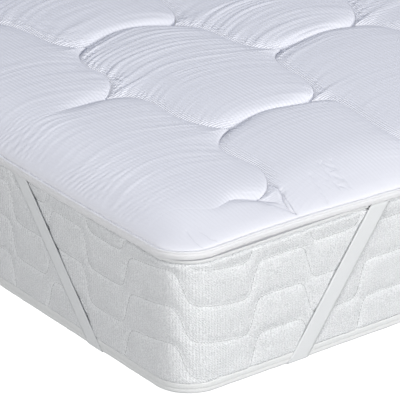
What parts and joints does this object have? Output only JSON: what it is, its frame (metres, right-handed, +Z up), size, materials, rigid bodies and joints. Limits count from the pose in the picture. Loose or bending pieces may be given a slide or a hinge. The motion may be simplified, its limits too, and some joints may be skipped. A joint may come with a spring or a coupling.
{
  "type": "mattress topper on a mattress",
  "caption": "Quilted mattress topper with a bound edge and an elastic strap across each corner, laid on a plain mattress.",
  "frame": {"origin": "on the floor, under the middle of the mattress", "axes": "+X across the width, +Y along the length, +Z up. The corner nearest the picture's camera is the one at -X, -Y"},
  "size_m": [1.3674, 1.9174, 0.2963],
  "materials": {
    "quilted_cotton": "matt, with fine raised ribs",
    "binding_tape": "smooth matt tape",
    "elastic": "matt woven elastic",
    "mattress_knit": "matt knit, stitched in waves",
    "mattress_tape": "matt woven tape"
  },
  "bodies": {
    "root": {"topper": "quilted_cotton", "binding": "binding_tape", "strap_left_front": "elastic", "strap_right_front": "elastic", "strap_left_back": "elastic", "strap_right_back": "elastic", "mattress": "mattress_knit", "mattress_tape_top": "mattress_tape", "mattress_tape_bottom": "mattress_tape"}
  },
  "joints": []
}
